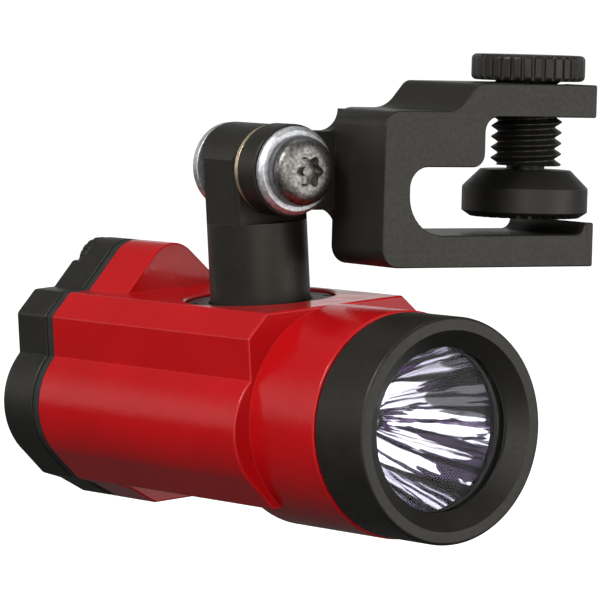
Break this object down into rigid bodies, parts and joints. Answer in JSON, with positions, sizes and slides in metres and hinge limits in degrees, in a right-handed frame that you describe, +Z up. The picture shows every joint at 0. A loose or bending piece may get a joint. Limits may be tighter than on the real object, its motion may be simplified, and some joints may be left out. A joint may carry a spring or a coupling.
{
  "type": "firefighter helmet flashlight",
  "caption": "Compact right-angle helmet light: red metal body for side-by-side cells, front lens, swivel post and brim clamp with thumb screw.",
  "frame": {"origin": "middle of the lower jaw's inner face, on the clamp screw's axis", "axes": "+Z up the clamp screw's axis, +X out of the jaw's mouth, -Y the way the beam points to within 4 degrees"},
  "size_m": [0.0638, 0.0835, 0.0657],
  "materials": {
    "red_enamel": "glossy red enamel over aluminium, faint orange peel",
    "black_anodise": "satin black anodised aluminium",
    "zinc_plate": "bright zinc-plated steel",
    "brass": "plain brass",
    "stainless": "dull stainless steel, lightly bead blasted",
    "rubber": "matt black rubber",
    "circuit_board": "green solder mask",
    "aluminium": "turned aluminium",
    "cell_wrap": "dark sleeve over a steel can",
    "mirror_coat": "vacuum-metallised mirror",
    "glass": "clear coated glass",
    "emitter": "yellow phosphor under clear silicone",
    "black_plastic": "black nylon"
  },
  "bodies": {
    "clamp": {"clamp_bracket": "black_anodise", "pivot_screw": "stainless", "front_washer": "zinc_plate", "lock_washer": "black_plastic", "thrust_washer": "brass", "rear_washer": "zinc_plate", "pivot_nut": "zinc_plate"},
    "pad": {"clamp_pad": "black_anodise", "pad_clip": "stainless"},
    "screw": {"thumb_screw": "black_anodise"},
    "post": {"post": "black_anodise", "post_seal": "rubber"},
    "light": {"light_housing": "red_enamel", "post_ring": "black_anodise", "friction_washer": "stainless", "bezel_ring": "black_anodise", "bezel_seal": "rubber", "lens": "glass", "lens_gasket": "rubber", "reflector": "mirror_coat", "led_board": "circuit_board", "led_emitter": "emitter", "heat_sink": "aluminium", "driver_board": "circuit_board", "contact_pin_right": "brass", "contact_pin_left": "brass", "battery_right": "cell_wrap", "battery_left": "cell_wrap", "latch_insert": "brass"},
    "tail": {"tail_gasket": "rubber", "tail_cap": "black_anodise", "contact_board": "circuit_board", "contact_spring_right": "stainless", "contact_spring_left": "stainless", "tactile_switch": "black_plastic", "button_ring": "aluminium"},
    "button": {"power_button": "rubber"},
    "latch": {"latch_screw": "stainless"}
  },
  "joints": [
    {"name": "pad_slide", "type": "slide", "parent": "clamp", "child": "pad", "axis": [0, 0, 1], "range_m": [0, 0.0072]},
    {"name": "thumb_screw_turn", "type": "hinge", "parent": "pad", "child": "screw", "pos_m": [0, 0, 0.0088], "axis": [0, 0, 1], "range_deg": [-2, 1732]},
    {"name": "light_tilt", "type": "hinge", "parent": "clamp", "child": "post", "pos_m": [-0.0372, 0.013, 0.0084], "axis": [0, 1, 0], "range_deg": [0, 95]},
    {"name": "light_pan", "type": "hinge", "parent": "post", "child": "light", "pos_m": [-0.0372, 0.013, 0.0084], "axis": [-0.0872, 0, 0.9962], "range_deg": [-85, 175]},
    {"name": "tail_slide", "type": "slide", "parent": "light", "child": "tail", "axis": [-0.066, 0.9978, -0.0058], "range_m": [0, 0.045]},
    {"name": "latch_turn", "type": "hinge", "parent": "tail", "child": "latch", "pos_m": [-0.03845, 0.05241, -0.00732], "axis": [-0.066, 0.9978, -0.0058], "range_deg": [0, 1440]},
    {"name": "button_press", "type": "slide", "parent": "tail", "child": "button", "axis": [0.066, -0.9978, 0.0058], "range_m": [0, 0.0007], "stiffness_N_per_m": 1500}
  ],
  "couplings": [
    {"joint": "thumb_screw_turn", "follows": "pad_slide", "rad_per_m": 4188.8}
  ]
}
